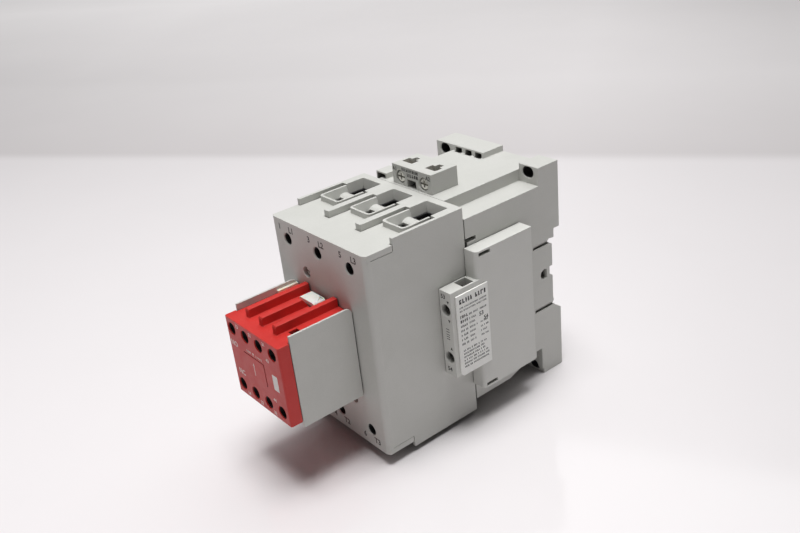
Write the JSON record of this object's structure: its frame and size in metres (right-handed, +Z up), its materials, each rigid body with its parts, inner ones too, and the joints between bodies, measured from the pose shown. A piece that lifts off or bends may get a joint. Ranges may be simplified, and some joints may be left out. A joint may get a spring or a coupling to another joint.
{
  "type": "din rail contactor",
  "caption": "Three-pole contactor for a 35 mm rail, with a red front auxiliary contact block, a slim side contact module, funnelled clamp terminals and a coil terminal block on top.",
  "frame": {"origin": "bottom centre of the bounding box, on the surface that the lower rear feet stand on", "axes": "+Z up, the front with its terminal screws faces -Y, the rail or panel is at +Y, +X is the side with the slim contact module"},
  "size_m": [0.081, 0.1588, 0.1221],
  "materials": {
    "grey_plastic": "fine-grained moulded",
    "red_plastic": "fine-grained moulded",
    "black_plastic": "moulded",
    "white_plastic": "slightly translucent",
    "steel": "zinc plated",
    "iron": "laminated",
    "copper": "drawn copper",
    "label": "printed film"
  },
  "bodies": {
    "housing": {"base_housing": "grey_plastic", "contact_housing": "grey_plastic", "front_cover": "grey_plastic", "coil_terminal_housing": "grey_plastic", "aux_shield_left": "grey_plastic", "aux_shield_right": "grey_plastic", "side_module_housing": "grey_plastic", "aux_base": "red_plastic", "aux_cover": "red_plastic", "aux_window_cover": "red_plastic", "cover_screw_upper": "steel", "cover_screw_lower": "steel", "magnet_core": "iron", "coil_bobbin": "white_plastic", "coil_winding": "copper", "side_label_plate": "label", "din_latch_spring": "steel", "return_spring": "steel", "line_contact_1": "copper", "line_contact_2": "copper", "line_contact_3": "copper", "load_contact_1": "copper", "load_contact_2": "copper", "load_contact_3": "copper"},
    "carrier": {"contact_carrier": "black_plastic", "armature": "iron", "bridge_1": "copper", "bridge_2": "copper", "bridge_3": "copper", "contact_spring_1": "steel", "contact_spring_2": "steel", "contact_spring_3": "steel"},
    "aux_slider": {"aux_slider": "white_plastic"},
    "side_plunger": {"side_plunger": "white_plastic"},
    "din_latch": {"din_latch": "black_plastic"},
    "aux_latch": {"aux_latch": "white_plastic"},
    "line_screw_1": {"line_screw_1": "steel"},
    "line_clamp_1": {"line_clamp_1": "steel"},
    "line_screw_2": {"line_screw_2": "steel"},
    "line_clamp_2": {"line_clamp_2": "steel"},
    "line_screw_3": {"line_screw_3": "steel"},
    "line_clamp_3": {"line_clamp_3": "steel"},
    "load_screw_1": {"load_screw_1": "steel"},
    "load_clamp_1": {"load_clamp_1": "steel"},
    "load_screw_2": {"load_screw_2": "steel"},
    "load_clamp_2": {"load_clamp_2": "steel"},
    "load_screw_3": {"load_screw_3": "steel"},
    "load_clamp_3": {"load_clamp_3": "steel"},
    "coil_screw_a1": {"coil_screw_a1": "steel"},
    "coil_screw_a2": {"coil_screw_a2": "steel"},
    "aux_screw_top_1": {"aux_screw_top_1": "steel"},
    "aux_screw_bottom_1": {"aux_screw_bottom_1": "steel"},
    "aux_screw_top_2": {"aux_screw_top_2": "steel"},
    "aux_screw_bottom_2": {"aux_screw_bottom_2": "steel"},
    "aux_screw_top_3": {"aux_screw_top_3": "steel"},
    "aux_screw_bottom_3": {"aux_screw_bottom_3": "steel"},
    "aux_screw_top_4": {"aux_screw_top_4": "steel"},
    "aux_screw_bottom_4": {"aux_screw_bottom_4": "steel"},
    "side_screw_upper": {"side_screw_upper": "steel"},
    "side_screw_lower": {"side_screw_lower": "steel"}
  },
  "joints": [
    {"name": "carrier_slide", "type": "slide", "parent": "housing", "child": "carrier", "axis": [0, 1, 0], "range_m": [0, 0.0055], "stiffness_N_per_m": 1800, "springref_m": -0.004, "deforming": ["return_spring"]},
    {"name": "aux_slider_slide", "type": "slide", "parent": "housing", "child": "aux_slider", "axis": [0, 1, 0], "range_m": [0, 0.0055]},
    {"name": "side_plunger_slide", "type": "slide", "parent": "housing", "child": "side_plunger", "axis": [0, 1, 0], "range_m": [0, 0.0055]},
    {"name": "din_latch_slide", "type": "slide", "parent": "housing", "child": "din_latch", "axis": [0, 0, -1], "range_m": [0, 0.0045], "stiffness_N_per_m": 1000, "springref_m": -0.003, "deforming": ["din_latch_spring"]},
    {"name": "aux_latch_press", "type": "slide", "parent": "housing", "child": "aux_latch", "axis": [0, 0, -1], "range_m": [0, 0.0015], "stiffness_N_per_m": 600, "springref_m": -0.002},
    {"name": "line_screw_1_turn", "type": "hinge", "parent": "housing", "child": "line_screw_1", "pos_m": [-0.02852, -0.0297, 0.1001], "axis": [0, 1, 0], "range_deg": [0, 2160]},
    {"name": "line_clamp_1_slide", "type": "slide", "parent": "housing", "child": "line_clamp_1", "axis": [0, -1, 0], "range_m": [0, 0.006]},
    {"name": "line_screw_2_turn", "type": "hinge", "parent": "housing", "child": "line_screw_2", "pos_m": [-0.00453, -0.0297, 0.1001], "axis": [0, 1, 0], "range_deg": [0, 2160]},
    {"name": "line_clamp_2_slide", "type": "slide", "parent": "housing", "child": "line_clamp_2", "axis": [0, -1, 0], "range_m": [0, 0.006]},
    {"name": "line_screw_3_turn", "type": "hinge", "parent": "housing", "child": "line_screw_3", "pos_m": [0.01947, -0.0297, 0.1001], "axis": [0, 1, 0], "range_deg": [0, 2160]},
    {"name": "line_clamp_3_slide", "type": "slide", "parent": "housing", "child": "line_clamp_3", "axis": [0, -1, 0], "range_m": [0, 0.006]},
    {"name": "load_screw_1_turn", "type": "hinge", "parent": "housing", "child": "load_screw_1", "pos_m": [-0.02852, -0.0297, 0.0153], "axis": [0, 1, 0], "range_deg": [0, 2160]},
    {"name": "load_clamp_1_slide", "type": "slide", "parent": "housing", "child": "load_clamp_1", "axis": [0, -1, 0], "range_m": [0, 0.006]},
    {"name": "load_screw_2_turn", "type": "hinge", "parent": "housing", "child": "load_screw_2", "pos_m": [-0.00453, -0.0297, 0.0153], "axis": [0, 1, 0], "range_deg": [0, 2160]},
    {"name": "load_clamp_2_slide", "type": "slide", "parent": "housing", "child": "load_clamp_2", "axis": [0, -1, 0], "range_m": [0, 0.006]},
    {"name": "load_screw_3_turn", "type": "hinge", "parent": "housing", "child": "load_screw_3", "pos_m": [0.01947, -0.0297, 0.0153], "axis": [0, 1, 0], "range_deg": [0, 2160]},
    {"name": "load_clamp_3_slide", "type": "slide", "parent": "housing", "child": "load_clamp_3", "axis": [0, -1, 0], "range_m": [0, 0.006]},
    {"name": "coil_screw_a1_turn", "type": "hinge", "parent": "housing", "child": "coil_screw_a1", "pos_m": [-0.01293, 0.0203, 0.1162], "axis": [0, 1, 0], "range_deg": [0, 1080]},
    {"name": "coil_screw_a2_turn", "type": "hinge", "parent": "housing", "child": "coil_screw_a2", "pos_m": [0.00387, 0.0203, 0.1162], "axis": [0, 1, 0], "range_deg": [0, 1080]},
    {"name": "aux_screw_top_1_turn", "type": "hinge", "parent": "housing", "child": "aux_screw_top_1", "pos_m": [-0.0219, -0.0757, 0.0723], "axis": [0, 1, 0], "range_deg": [0, 1080]},
    {"name": "aux_screw_bottom_1_turn", "type": "hinge", "parent": "housing", "child": "aux_screw_bottom_1", "pos_m": [-0.0219, -0.0757, 0.0427], "axis": [0, 1, 0], "range_deg": [0, 1080]},
    {"name": "aux_screw_top_2_turn", "type": "hinge", "parent": "housing", "child": "aux_screw_top_2", "pos_m": [-0.01065, -0.0757, 0.0723], "axis": [0, 1, 0], "range_deg": [0, 1080]},
    {"name": "aux_screw_bottom_2_turn", "type": "hinge", "parent": "housing", "child": "aux_screw_bottom_2", "pos_m": [-0.01065, -0.0757, 0.0427], "axis": [0, 1, 0], "range_deg": [0, 1080]},
    {"name": "aux_screw_top_3_turn", "type": "hinge", "parent": "housing", "child": "aux_screw_top_3", "pos_m": [0.0006, -0.0757, 0.0723], "axis": [0, 1, 0], "range_deg": [0, 1080]},
    {"name": "aux_screw_bottom_3_turn", "type": "hinge", "parent": "housing", "child": "aux_screw_bottom_3", "pos_m": [0.0006, -0.0757, 0.0427], "axis": [0, 1, 0], "range_deg": [0, 1080]},
    {"name": "aux_screw_top_4_turn", "type": "hinge", "parent": "housing", "child": "aux_screw_top_4", "pos_m": [0.01185, -0.0757, 0.0723], "axis": [0, 1, 0], "range_deg": [0, 1080]},
    {"name": "aux_screw_bottom_4_turn", "type": "hinge", "parent": "housing", "child": "aux_screw_bottom_4", "pos_m": [0.01185, -0.0757, 0.0427], "axis": [0, 1, 0], "range_deg": [0, 1080]},
    {"name": "side_screw_upper_turn", "type": "hinge", "parent": "housing", "child": "side_screw_upper", "pos_m": [0.03547, 0.0003, 0.0691], "axis": [0, 1, 0], "range_deg": [0, 1080]},
    {"name": "side_screw_lower_turn", "type": "hinge", "parent": "housing", "child": "side_screw_lower", "pos_m": [0.03547, 0.0003, 0.0439], "axis": [0, 1, 0], "range_deg": [0, 1080]}
  ],
  "couplings": [
    {"joint": "aux_slider_slide", "follows": "carrier_slide", "ratio": 1},
    {"joint": "side_plunger_slide", "follows": "carrier_slide", "ratio": 1},
    {"joint": "line_screw_1_turn", "follows": "line_clamp_1_slide", "rad_per_m": 6283.2},
    {"joint": "line_screw_2_turn", "follows": "line_clamp_2_slide", "rad_per_m": 6283.2},
    {"joint": "line_screw_3_turn", "follows": "line_clamp_3_slide", "rad_per_m": 6283.2},
    {"joint": "load_screw_1_turn", "follows": "load_clamp_1_slide", "rad_per_m": 6283.2},
    {"joint": "load_screw_2_turn", "follows": "load_clamp_2_slide", "rad_per_m": 6283.2},
    {"joint": "load_screw_3_turn", "follows": "load_clamp_3_slide", "rad_per_m": 6283.2}
  ]
}
